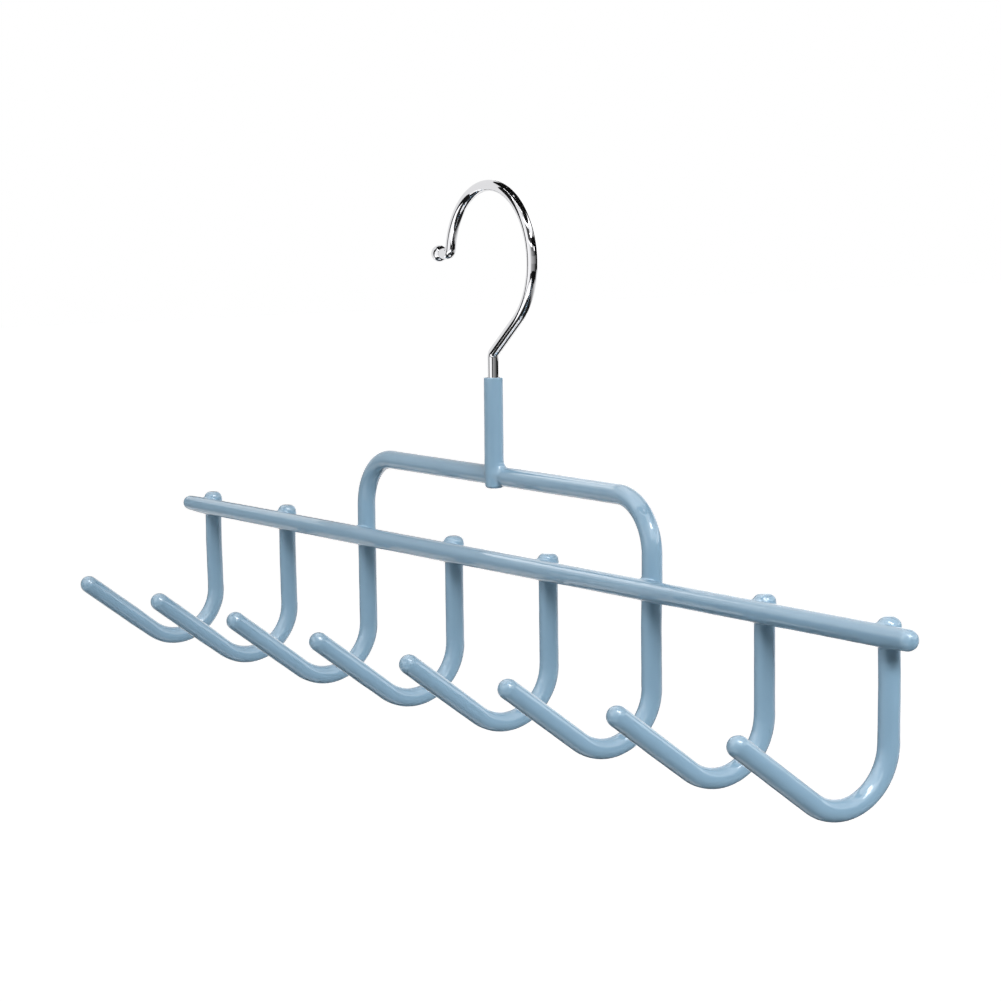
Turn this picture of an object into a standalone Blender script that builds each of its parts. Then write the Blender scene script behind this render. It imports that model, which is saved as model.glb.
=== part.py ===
"""Multi-hook hanger: dip-coated welded wire rack on a swivelling chrome rod hook.

Frame: metres, +Z up, +X along the crossbar, -Y is the side that the small hooks reach out to.
The origin is where the closet rod bears, under the crown of the rod hook, on the swivel axis.
"""
import math

import bmesh
import bpy
from mathutils import Matrix, Vector

# Coated steel wire
WIRE_D = 0.0035           # bare steel wire
COAT_T = 0.00105          # coating on the side of a leg or of the frame
ARM_COAT_T = 0.00115      # coating on a hook's arm, where the dip runs down and gathers
BAR_COAT_T = 0.00119      # coating on the side of the crossbar
END_COAT_T = 0.0018       # coating over a wire's cut end
WELD_SINK = 0.0004        # how far two crossing wires melt into each other

# Row of small hooks and the crossbar
HOOK_COUNT = 8
HOOK_PITCH = 0.050
BAR_OVERHANG = 0.0135     # crossbar beyond the outermost hooks
LEG_TOP_SHOW = 0.00172    # coated leg above the crossbar's coating
LEG_DROP = 0.0273         # crossbar axis to the start of a hook's bend
BEND_R = 0.0151           # hook bend, on the wire's axis
ARM_RISE = 36.3           # degrees above level
ARM_RUN = 0.0282          # end of the bend to the centre of the rounded tip

# Inverted-U frame whose two legs end as hooks
FRAME_LEGS = (2, 5)       # places in the row that the frame's own legs take
FRAME_HEIGHT = 0.0246     # crossbar axis to top bar axis
CORNER_R = 0.0154         # frame corner, on the wire's axis

# Rod hook
ROD_WIRE_D = 0.0032
ROD_SPACE_R = 0.01985     # inside of the round hook
ROD_SHIFT = -0.0008       # hook's centre from the swivel axis, along X
NECK_TO_CENTRE = 0.0337   # sleeve top to the centre of the round hook
NECK_LENGTH = 0.0068      # sleeve top to the kink
KINK_R = 0.0020
TIP_BEND_R = 0.0020
TIP_RISE = 0.0012         # tip's axis above the centre of the round hook
TIP_REACH = 0.0275        # centre of the round hook to the centre of the ball
BALL_D = 0.0049

# Swivel sleeve and the ring that holds the hook in it
SLEEVE_RISE = 0.0287      # top bar axis to sleeve top
SLEEVE_SHIFT = 0.0017     # top bar axis behind the sleeve axis
SLEEVE_STUB = 0.00062     # coated sleeve below the top bar's coating
SLEEVE_COAT_T = 0.0004
TUBE_WALL = 0.0003        # round the ring chamber
RUN_GAP = 0.00015         # hook wire to sleeve bore
RING_BITE = 0.00023       # ring beyond the sleeve bore
RING_GAP = 0.00012        # ring to chamber wall
RING_T = 0.0008
RING_SPLIT = 0.0012
GROOVE_D = 0.0020         # hook wire inside the ring
GROOVE_GAP = 0.00025      # ring to groove, all round
CHAMBER_H = 0.0053        # ring chamber, below its shoulder
CHAMBER_FLOOR = 0.0047    # top bar axis to the chamber's floor level
SHANK_TAIL = 0.0016       # hook wire below its groove
LIP_T = 0.0005            # coating over the sleeve's top edge

# Clearances between solids
BOND_GAP = 0.00015        # coating to its own wire
SEAT_GAP = 0.0003         # one welded or coated piece to the next
SKIN_GAP = 0.0001         # sleeve coating to the sleeve tube

# Facets
COAT_SIDES = 12
CORE_SIDES = 8
ROD_SIDES = 16
TURN_SIDES = 24
BEND_STEP = 10.0          # degrees of bend to each facet
CROWN_STEP = 6.0

# Sizes that follow from the ones above
CORE_R = WIRE_D / 2
COAT_R = CORE_R + COAT_T
ARM_COAT_R = CORE_R + ARM_COAT_T
BAR_COAT_R = CORE_R + BAR_COAT_T
LEG_OFFSET = WIRE_D - WELD_SINK
ROD_R = ROD_WIRE_D / 2
CROWN_R = ROD_SPACE_R + ROD_R
BORE_R = ROD_R + RUN_GAP
RING_R = BORE_R + RING_BITE
CHAMBER_R = RING_R + RING_GAP
TUBE_R = CHAMBER_R + TUBE_WALL
SLEEVE_R = TUBE_R + SLEEVE_COAT_T
ROD_CENTRE_Z = -math.sqrt(ROD_SPACE_R ** 2 - ROD_SHIFT ** 2)
SLEEVE_TOP_Z = ROD_CENTRE_Z - NECK_TO_CENTRE
TOP_BAR_Z = SLEEVE_TOP_Z - SLEEVE_RISE
BAR_Z = TOP_BAR_Z - FRAME_HEIGHT
SLEEVE_BASE_Z = TOP_BAR_Z - COAT_R - SLEEVE_STUB
LEG_Y = SLEEVE_SHIFT
BAR_Y = LEG_Y - LEG_OFFSET
ROW_HALF = (HOOK_COUNT - 1) * HOOK_PITCH / 2
BAR_HALF = ROW_HALF + BAR_OVERHANG
SHOULDER_Z = TOP_BAR_Z + CHAMBER_FLOOR + CHAMBER_H
RING_TOP_Z = SHOULDER_Z - SEAT_GAP


def clear_scene():
    """Remove every object, so the script can be run again."""
    for obj in list(bpy.data.objects):
        bpy.data.objects.remove(obj, do_unlink=True)


def new_collection(name):
    """Make a collection in the scene."""
    collection = bpy.data.collections.new(name)
    bpy.context.scene.collection.children.link(collection)
    return collection


def new_material(name, colour, roughness, metallic):
    """Make a Principled material."""
    material = bpy.data.materials.new(name)
    material.use_nodes = True
    shader = material.node_tree.nodes["Principled BSDF"]
    shader.inputs["Base Color"].default_value = (*colour, 1.0)
    shader.inputs["Roughness"].default_value = roughness
    shader.inputs["Metallic"].default_value = metallic
    return material


def hook_x(place):
    """Place of a hook along the row, counted from 0 at the -X end."""
    return place * HOOK_PITCH - ROW_HALF


def arc(centre, radius, start, end, step):
    """Points on an arc between two angles in degrees, both ends included."""
    count = max(2, math.ceil(abs(end - start) / step))
    points = []
    for i in range(count + 1):
        angle = math.radians(start + (end - start) * i / count)
        points.append((centre[0] + radius * math.cos(angle), centre[1] + radius * math.sin(angle)))
    return points


def hook_profile():
    """A small hook's wire axis as (y, z) from the crossbar's height to the tip's centre.

    y is measured from the leg and z from the crossbar's axis.
    """
    bend = arc((-BEND_R, -LEG_DROP), BEND_R, 0.0, -90.0 - ARM_RISE, BEND_STEP)
    rise = math.radians(ARM_RISE)
    end = bend[-1]
    tip = (end[0] - ARM_RUN * math.cos(rise), end[1] + ARM_RUN * math.sin(rise))
    return [(0.0, 0.0)] + bend + [tip]


def frame_axis():
    """The frame wire's axis from one tip's centre over the top bar to the other's."""
    profile = hook_profile()[1:]
    left_x = hook_x(FRAME_LEGS[0])
    right_x = hook_x(FRAME_LEGS[1])
    corner_z = FRAME_HEIGHT - CORNER_R
    points = [Vector((left_x, y, z)) for y, z in reversed(profile)]
    for x, z in arc((left_x + CORNER_R, corner_z), CORNER_R, 180.0, 90.0, BEND_STEP):
        points.append(Vector((x, 0.0, z)))
    for x, z in arc((right_x - CORNER_R, corner_z), CORNER_R, 90.0, 0.0, BEND_STEP):
        points.append(Vector((x, 0.0, z)))
    points += [Vector((right_x, y, z)) for y, z in profile]
    return points


def coat_radius(point):
    """Outside radius of a hook's coating at a point of its axis: it thickens round the bend."""
    if abs(point.y) < BOND_GAP:
        return COAT_R
    turned = math.degrees(math.atan2(-LEG_DROP - point.z, point.y + BEND_R))
    share = turned / (90.0 + ARM_RISE) if turned > 0.0 else 1.0
    return COAT_R + (ARM_COAT_R - COAT_R) * min(share, 1.0)


def domed(points, radii):
    """Add a rounded end to both ends of an axis; returns the points and their radii."""
    angles = [math.radians(a) for a in (25.0, 50.0, 70.0, 84.0)]
    start = (points[0] - points[1]).normalized()
    end = (points[-1] - points[-2]).normalized()
    head = [(points[0] + start * radii[0] * math.sin(a), radii[0] * math.cos(a)) for a in angles]
    tail = [(points[-1] + end * radii[-1] * math.sin(a), radii[-1] * math.cos(a)) for a in angles]
    return list(reversed(head)) + list(zip(points, radii)) + tail


def cut_off(points, radius, extra):
    """Run both ends of an axis on by a length, with flat ends."""
    start = (points[0] - points[1]).normalized()
    end = (points[-1] - points[-2]).normalized()
    path = [points[0] + start * extra] + points[1:-1] + [points[-1] + end * extra]
    return [(p, radius) for p in path]


def wire_mesh(name, rings, sides):
    """Mesh of a round wire along rings of (centre, radius), from a bevelled curve."""
    width = max(radius for _, radius in rings)
    curve = bpy.data.curves.new(name, "CURVE")
    curve.dimensions = "3D"
    curve.bevel_depth = width
    curve.bevel_resolution = (sides - 4) // 2
    curve.use_fill_caps = True
    spline = curve.splines.new("POLY")
    spline.points.add(len(rings) - 1)
    for point, (centre, radius) in zip(spline.points, rings):
        point.co = (*centre, 1.0)
        point.radius = radius / width
    guide = bpy.data.objects.new(name + "_axis", curve)
    bpy.context.scene.collection.objects.link(guide)
    depsgraph = bpy.context.evaluated_depsgraph_get()
    mesh = bpy.data.meshes.new_from_object(guide.evaluated_get(depsgraph))
    mesh.name = name
    bpy.data.objects.remove(guide, do_unlink=True)
    bpy.data.curves.remove(curve)
    weld(mesh)
    return mesh


def weld(mesh):
    """Join a mesh's loose caps and shade its round sides smooth."""
    bm = bmesh.new()
    bm.from_mesh(mesh)
    bmesh.ops.remove_doubles(bm, verts=bm.verts, dist=1e-6)
    bmesh.ops.recalc_face_normals(bm, faces=bm.faces)
    bm.to_mesh(mesh)
    bm.free()
    mesh.shade_smooth()
    mesh.set_sharp_from_angle(angle=math.radians(40.0))


def add_piece(name, mesh, material, location, pivot):
    """Add a named piece of the object, carried by an empty on the swivel axis."""
    obj = bpy.data.objects.new(name, mesh)
    obj.location = location
    PARTS.objects.link(obj)
    obj.data.materials.clear()
    obj.data.materials.append(material)
    if pivot is not None:
        obj.parent = pivot
        obj.matrix_parent_inverse = pivot.matrix_world.inverted()
    return obj


def add_cutter(name, mesh, location):
    """Add a shape that only cuts other pieces."""
    obj = bpy.data.objects.new(name, mesh)
    obj.location = location
    obj.hide_render = True
    obj.display_type = "WIRE"
    CUTTERS.objects.link(obj)
    return obj


def cut(obj, cutter):
    """Take a cutter's shape out of a piece."""
    modifier = obj.modifiers.new("cut_" + cutter.name, "BOOLEAN")
    modifier.operation = "DIFFERENCE"
    modifier.solver = "EXACT"
    modifier.object = cutter


def turn(name, profile, closed):
    """Mesh guide of a profile of (radius, z) points, turned about Z by a Screw modifier."""
    bm = bmesh.new()
    verts = [bm.verts.new((r, 0.0, z)) for r, z in profile]
    for first, second in zip(verts, verts[1:]):
        bm.edges.new((first, second))
    if closed:
        bm.edges.new((verts[-1], verts[0]))
    outline = bpy.data.meshes.new(name)
    bm.to_mesh(outline)
    bm.free()
    guide = bpy.data.objects.new(name + "_outline", outline)
    bpy.context.scene.collection.objects.link(guide)
    screw = guide.modifiers.new("turn", "SCREW")
    screw.steps = TURN_SIDES
    screw.render_steps = TURN_SIDES
    screw.use_merge_vertices = True
    screw.merge_threshold = 1e-6
    depsgraph = bpy.context.evaluated_depsgraph_get()
    mesh = bpy.data.meshes.new_from_object(guide.evaluated_get(depsgraph))
    mesh.name = name
    bpy.data.objects.remove(guide, do_unlink=True)
    weld(mesh)
    return mesh


def bar_mesh(name, half, radius, sides):
    """Straight round bar along X, centred on its own origin."""
    ends = [(Vector((-half, 0.0, 0.0)), radius), (Vector((half, 0.0, 0.0)), radius)]
    return wire_mesh(name, ends, sides)


def make_shared_cutters():
    """Cutters that more than one piece is cut by."""
    bar = (0.0, BAR_Y, BAR_Z)
    skin = add_cutter("clear_crossbar_coat", bar_mesh("clear_skin", BAR_HALF, BAR_COAT_R + SEAT_GAP, COAT_SIDES), bar)
    wire = add_cutter("clear_crossbar_core", bar_mesh("clear_wire", BAR_HALF, CORE_R + SEAT_GAP, CORE_SIDES), bar)
    axis = frame_axis()
    rings = cut_off(axis, CORE_R + SEAT_GAP, COAT_R - END_COAT_T + SEAT_GAP)
    frame = add_cutter("clear_frame_core", wire_mesh("clear_frame", rings, CORE_SIDES), (0.0, LEG_Y, BAR_Z))
    return skin, wire, frame


def leg_rings(radius, extra):
    """Short stretch of leg from the crossbar's height up to its cut top and down the same."""
    top = BAR_COAT_R + LEG_TOP_SHOW - END_COAT_T + extra
    low = Vector((0.0, 0.0, -BAR_COAT_R - 2 * SEAT_GAP - top))
    return [(low, radius), (Vector((0.0, 0.0, top)), radius)]


def make_crossbar(pivot, clear_frame):
    """The long straight wire across the front of the legs, and its coating."""
    place = (0.0, BAR_Y, BAR_Z)
    wire_half = BAR_HALF - END_COAT_T
    core = bar_mesh("crossbar_core", wire_half, CORE_R, CORE_SIDES)
    add_piece("crossbar_core", core, STEEL, place, pivot)
    centre = BAR_HALF - BAR_COAT_R
    axis = [Vector((-centre, 0.0, 0.0)), Vector((centre, 0.0, 0.0))]
    coat = wire_mesh("crossbar_coat", domed(axis, [BAR_COAT_R] * 2), COAT_SIDES)
    coat = add_piece("crossbar_coat", coat, COATING, place, pivot)
    hollow = bar_mesh("crossbar_hollow", wire_half + BOND_GAP, CORE_R + BOND_GAP, CORE_SIDES)
    cut(coat, add_cutter("crossbar_hollow", hollow, place))
    window = wire_mesh("leg_window", leg_rings(CORE_R + SEAT_GAP, SEAT_GAP), CORE_SIDES)
    for number in range(HOOK_COUNT):
        if number in FRAME_LEGS:
            continue
        spot = (hook_x(number), LEG_Y, BAR_Z)
        cut(coat, add_cutter("leg_window_%d" % (number + 1), window, spot))
    cut(coat, clear_frame)


def make_frame(pivot, clear_skin, clear_wire, clear_sleeve):
    """The inverted-U wire that also forms two of the hooks, and its coating."""
    place = (0.0, LEG_Y, BAR_Z)
    axis = frame_axis()
    extra = COAT_R - END_COAT_T
    core = wire_mesh("frame_core", cut_off(axis, CORE_R, extra), CORE_SIDES)
    core = add_piece("frame_core", core, STEEL, place, pivot)
    cut(core, clear_wire)
    rings = domed(axis, [coat_radius(point) for point in axis])
    coat = add_piece("frame_coat", wire_mesh("frame_coat", rings, COAT_SIDES), COATING, place, pivot)
    hollow = wire_mesh("frame_hollow", cut_off(axis, CORE_R + BOND_GAP, extra + BOND_GAP), CORE_SIDES)
    cut(coat, add_cutter("frame_hollow", hollow, place))
    cut(coat, clear_skin)
    cut(coat, clear_sleeve)


def make_small_hooks(pivot, clear_skin, clear_wire):
    """The separate J hooks: one bent wire and its coating each."""
    axis = [Vector((0.0, y, z)) for y, z in hook_profile()]
    axis[0].z = BAR_COAT_R + LEG_TOP_SHOW - COAT_R
    extra = COAT_R - END_COAT_T
    core_mesh = wire_mesh("j_hook_core", cut_off(axis, CORE_R, extra), CORE_SIDES)
    rings = domed(axis, [coat_radius(point) for point in axis])
    coat_mesh = wire_mesh("j_hook_coat", rings, COAT_SIDES)
    hollow_mesh = wire_mesh("j_hook_hollow", cut_off(axis, CORE_R + BOND_GAP, extra + BOND_GAP), CORE_SIDES)
    for number in range(HOOK_COUNT):
        if number in FRAME_LEGS:
            continue
        place = (hook_x(number), LEG_Y, BAR_Z)
        label = "j_hook_%d" % (number + 1)
        core = add_piece(label + "_core", core_mesh, STEEL, place, pivot)
        cut(core, clear_wire)
        coat = add_piece(label + "_coat", coat_mesh, COATING, place, pivot)
        cut(coat, add_cutter(label + "_hollow", hollow_mesh, place))
        cut(coat, clear_skin)


def make_sleeve(pivot, clear_frame):
    """The upright tube that the rod hook turns in, notched over the top bar, and its coating."""
    tube_top = SLEEVE_TOP_Z - LIP_T - SEAT_GAP
    tube_base = SLEEVE_BASE_Z + SLEEVE_COAT_T + SEAT_GAP
    tube = turn("sleeve_tube", [(TUBE_R, tube_top), (TUBE_R, tube_base), (CHAMBER_R, tube_base),
                                (CHAMBER_R, SHOULDER_Z), (BORE_R, SHOULDER_Z), (BORE_R, tube_top)], True)
    tube = add_piece("sleeve_tube", tube, STEEL, (0.0, 0.0, 0.0), pivot)
    cut(tube, clear_frame)
    hollow_r = TUBE_R + SKIN_GAP
    hollow_base = tube_base - SKIN_GAP
    mouth_r = BORE_R + RUN_GAP
    edge = SLEEVE_COAT_T
    foot = COAT_R / 2
    profile = [(0.0, hollow_base), (hollow_r, hollow_base), (hollow_r, SLEEVE_TOP_Z - LIP_T)]
    profile += [(mouth_r, SLEEVE_TOP_Z - LIP_T), (mouth_r, SLEEVE_TOP_Z)]
    profile += arc((SLEEVE_R - edge, SLEEVE_TOP_Z - edge), edge, 90.0, 0.0, 30.0)
    profile += arc((SLEEVE_R - foot, SLEEVE_BASE_Z + foot), foot, 0.0, -90.0, 30.0)
    profile += [(0.0, SLEEVE_BASE_Z)]
    coat = add_piece("sleeve_coat", turn("sleeve_coat", profile, False), COATING, (0.0, 0.0, 0.0), pivot)
    cut(coat, clear_frame)


def make_sleeve_cutter():
    """What the top bar's coating is cut by where the sleeve crosses it."""
    radius = SLEEVE_R + SEAT_GAP
    low = Vector((0.0, 0.0, SLEEVE_BASE_Z - SEAT_GAP))
    high = Vector((0.0, 0.0, SLEEVE_TOP_Z))
    return add_cutter("clear_sleeve", wire_mesh("clear_sleeve", [(low, radius), (high, radius)], ROD_SIDES), (0, 0, 0))


def shank_rings():
    """Lower end of the rod hook: chamfered tail, ring groove and plain shank."""
    groove_top = RING_TOP_Z + GROOVE_GAP
    groove_low = RING_TOP_Z - RING_T - GROOVE_GAP
    tail = groove_low - SHANK_TAIL
    chamfer = ROD_R / 4
    step = SKIN_GAP / 2
    heights = [(tail, ROD_R - chamfer), (tail + chamfer, ROD_R), (groove_low, ROD_R), (groove_low + step, GROOVE_D / 2)]
    heights += [(groove_top - step, GROOVE_D / 2), (groove_top, ROD_R)]
    return [(Vector((0.0, 0.0, z)), radius) for z, radius in heights]


def crown_points():
    """The rod hook's axis above its shank, as (x, z): kink, straight run, round hook and turned-out tip."""
    kink_z = SLEEVE_TOP_Z + NECK_LENGTH
    to_centre = math.hypot(ROD_SHIFT, ROD_CENTRE_Z - kink_z)
    lean = math.degrees(math.atan2(ROD_CENTRE_Z - kink_z, ROD_SHIFT) - math.asin(CROWN_R / to_centre))
    back = KINK_R * math.tan(math.radians(90.0 - lean) / 2)
    points = arc((KINK_R, kink_z - back), KINK_R, 180.0, 90.0 + lean, 12.0)
    rise = math.degrees(math.asin((TIP_RISE + TIP_BEND_R) / (CROWN_R + TIP_BEND_R)))
    points += arc((ROD_SHIFT, ROD_CENTRE_Z), CROWN_R, lean - 90.0, 180.0 - rise, CROWN_STEP)
    turn_x = ROD_SHIFT - (CROWN_R + TIP_BEND_R) * math.cos(math.radians(rise))
    turn_z = ROD_CENTRE_Z + TIP_RISE + TIP_BEND_R
    points += arc((turn_x, turn_z), TIP_BEND_R, -rise, -90.0, 18.0)[1:]
    return points


def make_rod_hook():
    """The chrome rod hook, bent from one wire, with a ball formed on its tip."""
    rings = shank_rings()
    rings += [(Vector((x, 0.0, z)), ROD_R) for x, z in crown_points()]
    ball_r = BALL_D / 2
    ball_x = ROD_SHIFT - TIP_REACH
    ball_z = ROD_CENTRE_Z + TIP_RISE
    neck = math.degrees(math.asin(ROD_R / ball_r))
    for along, width in arc((0.0, 0.0), ball_r, neck, 172.0, 13.0):
        rings.append((Vector((ball_x + along, 0.0, ball_z)), width))
    add_piece("rod_hook", wire_mesh("rod_hook", rings, ROD_SIDES), CHROME, (0.0, 0.0, 0.0), None)


def make_retaining_ring():
    """The split ring in the hook's groove that stops under the sleeve's inner shoulder."""
    inner = GROOVE_D / 2 + GROOVE_GAP
    low = RING_TOP_Z - RING_T
    profile = [(RING_R, RING_TOP_Z), (RING_R, low), (inner, low), (inner, RING_TOP_Z)]
    ring = add_piece("retaining_ring", turn("retaining_ring", profile, True), STEEL, (0.0, 0.0, 0.0), None)
    bm = bmesh.new()
    bmesh.ops.create_cube(bm, size=1.0, matrix=Matrix.Diagonal((RING_SPLIT, RING_R, 2 * RING_T, 1.0)))
    split = bpy.data.meshes.new("ring_split")
    bm.to_mesh(split)
    bm.free()
    cut(ring, add_cutter("ring_split", split, (0.0, (RING_R + inner) / 2, low + RING_T / 2)))


def main():
    """Build the hanger."""
    pivot = bpy.data.objects.new("hook_swivel", None)
    pivot.location = (0.0, 0.0, SLEEVE_TOP_Z)
    PARTS.objects.link(pivot)
    bpy.context.view_layer.update()
    clear_skin, clear_wire, clear_frame = make_shared_cutters()
    clear_sleeve = make_sleeve_cutter()
    make_crossbar(pivot, clear_frame)
    make_frame(pivot, clear_skin, clear_wire, clear_sleeve)
    make_small_hooks(pivot, clear_skin, clear_wire)
    make_sleeve(pivot, clear_frame)
    make_rod_hook()
    make_retaining_ring()


clear_scene()
PARTS = new_collection("multi_hook_hanger")
CUTTERS = new_collection("cutters")
COATING = new_material("blue_coating", (0.25, 0.39, 0.53), 0.32, 0.0)
STEEL = new_material("bright_steel", (0.45, 0.45, 0.46), 0.35, 1.0)
CHROME = new_material("chrome", (0.80, 0.80, 0.82), 0.06, 1.0)
main()
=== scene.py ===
"""Looks of the multi-hook hanger: its dipped coating, its chrome rod hook and a plain studio.

Frame: metres, +Z up, +X along the crossbar, -Y is the side that the small hooks reach out to.
The origin is where the closet rod bears, under the crown of the rod hook.
"""
import math

import bmesh
import bpy
import numpy as np
from bpy.props import FloatProperty, FloatVectorProperty, IntProperty, PointerProperty
from mathutils import Matrix, Vector


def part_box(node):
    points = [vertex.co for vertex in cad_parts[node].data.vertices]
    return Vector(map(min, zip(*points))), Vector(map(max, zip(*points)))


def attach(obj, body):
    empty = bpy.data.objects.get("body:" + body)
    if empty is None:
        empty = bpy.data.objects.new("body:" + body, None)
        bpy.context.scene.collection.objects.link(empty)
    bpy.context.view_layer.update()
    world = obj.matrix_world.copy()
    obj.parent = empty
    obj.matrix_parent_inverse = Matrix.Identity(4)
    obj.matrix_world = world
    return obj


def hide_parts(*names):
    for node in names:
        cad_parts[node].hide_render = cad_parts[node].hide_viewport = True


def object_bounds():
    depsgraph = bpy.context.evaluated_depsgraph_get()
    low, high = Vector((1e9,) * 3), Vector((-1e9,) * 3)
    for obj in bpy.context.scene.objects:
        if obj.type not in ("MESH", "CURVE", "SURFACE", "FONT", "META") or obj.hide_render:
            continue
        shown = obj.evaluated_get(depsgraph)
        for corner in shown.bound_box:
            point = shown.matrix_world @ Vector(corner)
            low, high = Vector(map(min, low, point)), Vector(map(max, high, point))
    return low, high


bl_info = {
    "name": "Multi-hook hanger looks",
    "version": (1, 0, 0),
    "blender": (4, 5, 0),
    "location": "3D View > Sidebar > Hanger",
    "description": "Dresses a coated wire hanger with a swivelling rod hook",
    "category": "Object",
}

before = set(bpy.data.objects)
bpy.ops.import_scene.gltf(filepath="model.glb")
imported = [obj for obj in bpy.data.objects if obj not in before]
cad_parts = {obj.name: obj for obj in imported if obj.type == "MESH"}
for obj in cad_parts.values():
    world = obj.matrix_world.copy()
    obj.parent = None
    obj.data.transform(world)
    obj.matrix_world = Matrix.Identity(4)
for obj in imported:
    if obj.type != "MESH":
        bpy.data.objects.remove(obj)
CAD_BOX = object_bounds()

# Places that the CAD nodes give
BAR_LOW, BAR_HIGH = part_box("crossbar_coat")
WIRE_LOW, WIRE_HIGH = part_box("crossbar_core")
FIRST_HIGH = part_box("j_hook_1_coat")[1]
LAST_LOW, LAST_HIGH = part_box("j_hook_8_coat")
FRAME_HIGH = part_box("frame_coat")[1]
CORE_LOW, CORE_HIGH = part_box("frame_core")
SLEEVE_LOW, SLEEVE_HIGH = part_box("sleeve_coat")
TUBE_LOW, TUBE_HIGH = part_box("sleeve_tube")
ROD_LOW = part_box("rod_hook")[0]
RING_LOW, RING_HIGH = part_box("retaining_ring")

BAR_COAT_R = (BAR_HIGH.z - BAR_LOW.z) / 2
WIRE_R = (WIRE_HIGH.z - WIRE_LOW.z) / 2
BAR_Y = (BAR_HIGH.y + BAR_LOW.y) / 2
BAR_Z = (BAR_HIGH.z + BAR_LOW.z) / 2
BAR_END = (BAR_HIGH.x - BAR_LOW.x) / 2
HOOK_COUNT = 8
ROW_HALF = (LAST_LOW.x + LAST_HIGH.x) / 2
PITCH = 2 * ROW_HALF / (HOOK_COUNT - 1)
LEG_Y = CORE_HIGH.y - WIRE_R
COAT_R = FRAME_HIGH.y - LEG_Y
TOP_BAR_Z = FRAME_HIGH.z - COAT_R
KNOB_TOP = FIRST_HIGH.z
SLEEVE_R = (SLEEVE_HIGH.x - SLEEVE_LOW.x) / 2 - 0.00003
J_HOOKS = (1, 2, 4, 5, 7, 8)
COATED = ["crossbar_coat", "frame_coat", "sleeve_coat"] + ["j_hook_%d_coat" % n for n in J_HOOKS]
CORES = ["crossbar_core", "frame_core"] + ["j_hook_%d_core" % n for n in J_HOOKS]
FRAME_PLACES = (2, 5)

# Bends of the rack's wires and of the rod hook, as the part's own source has them
BEND_R = 0.0151
ARM_RISE = math.radians(36.3)
ARM_RUN = 0.0282
CORNER_R = 0.0154
BEND_Z = CORE_LOW.z + WIRE_R + BEND_R
ROD_WIRE_R = 0.0016
ROD_SPACE_R = 0.01985
ROD_SHIFT = -0.0008
ROD_CENTRE_Z = -math.sqrt(ROD_SPACE_R ** 2 - ROD_SHIFT ** 2)
NECK_LENGTH = 0.0068
KINK_R = 0.0020
TIP_BEND_R = 0.0020
TIP_RISE = 0.0012
TIP_REACH = 0.0275

# How far the skin keeps inside the box of the solids
CLEARANCE = 0.00002

# What differs from hook to hook, hook 1 first: how round the edge of its knob over the crossbar is, the
# knob's height over the part's own, the coated radius of its leg and arm, and how much wider its bend is
KNOB_EDGE = (0.0017, 0.0016, 0.0017, 0.0016, 0.0014, 0.0017, 0.0017, 0.0022)
KNOB_LIFT = (0.0000, 0.0001, 0.0000, 0.0000, -0.0001, 0.0000, -0.0002, -0.0001)
LEG_RADII = (0.00268, 0.00267, 0.00274, 0.00274, 0.00276, 0.00284, 0.00280, 0.00285)
ARM_RADII = (0.00284, 0.00285, 0.00283, 0.00284, 0.00285, 0.00287, 0.00289, 0.00285)
BEND_MORE = (0.00004, 0.00010, 0.00015, 0.00015, 0.00016, 0.00018, 0.00017, 0.00017)

# How far each hook stands off its place along the crossbar, as the welds left it: at the bar, at mid leg,
# and at the bend, a run further down. The frame's two uprights have a shift of their own over the bar.
SHIFT_AT_BAR = (-0.00030, -0.00022, 0.0, 0.0, 0.0, 0.0, 0.0, 0.0)
SHIFT_AT_LEG = (-0.00036, -0.00024, -0.00010, 0.0, 0.0, 0.0, 0.0, 0.00018)
SHIFT_AT_BEND = (0.00055, 0.00045, 0.00015, 0.00018, 0.00010, 0.00005, -0.00005, -0.00018)
MID_LEG_DEPTH = 0.012
LEG_BEND_RUN = 0.020
UPRIGHT_SHIFT = {2: -0.00022, 5: 0.00045}

# The knobs widen downwards, the arms thicken after their bend, and the top bar thickens towards its near end
KNOB_INSET = 0.00004
KNOB_FLARE = 0.00032
KNOB_FLARE_DEPTH = 0.0024
ARM_SWELL_RUN = 0.009
TOP_BAR_R = 0.00273
TOP_BAR_MORE = 0.00009

# The coating thickens on the crossbar towards its near end: places along it and radii
BAR_STATIONS = (-0.185, -0.150, -0.100, -0.050, 0.000, 0.050, 0.100, 0.150, 0.180)
BAR_RADII = (0.00257, 0.00271, 0.00281, 0.00286, 0.00289, 0.00287, 0.00291, 0.00289, 0.00288)

# The crossbar's two formed ends: where each starts and is full, from the bar's end, how much thinner it is,
# and how much higher than the rest of the bar, which itself stands a little over its solid
FAR_END_REACH = (0.0105, 0.0015)
FAR_END_THINNER = 0.00022
FAR_END_RISE = 0.00012
NEAR_END_REACH = (0.0100, 0.0040)
NEAR_END_THINNER = 0.00010
NEAR_END_RISE = 0.00010
BAR_RISE = 0.00008

# The bead of coating under the crossbar at each leg: its radius, half length, place, stretches and fillet
BEAD_R = 0.0014
BEAD_HALF = 0.0007
BEAD_ASIDE = 0.0002
BEAD_BACK = 0.0014
BEAD_STRETCH = (1.15, 1.35)
BEAD_FILLET = 0.0006

# The sleeve's coating swells downwards, and its foot draws in from a height over the top bar's axis
SLEEVE_SWELL = 0.00004
FOOT_START = 0.0034
FOOT_RUN = 0.0052
FOOT_INSET = 0.00014
FOOT_EDGE = 0.0010

# The fillets where the sleeve meets the top bar: under it, and how much more over it
SADDLE_UNDER = 0.0008
SADDLE_MORE = 0.0012


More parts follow.
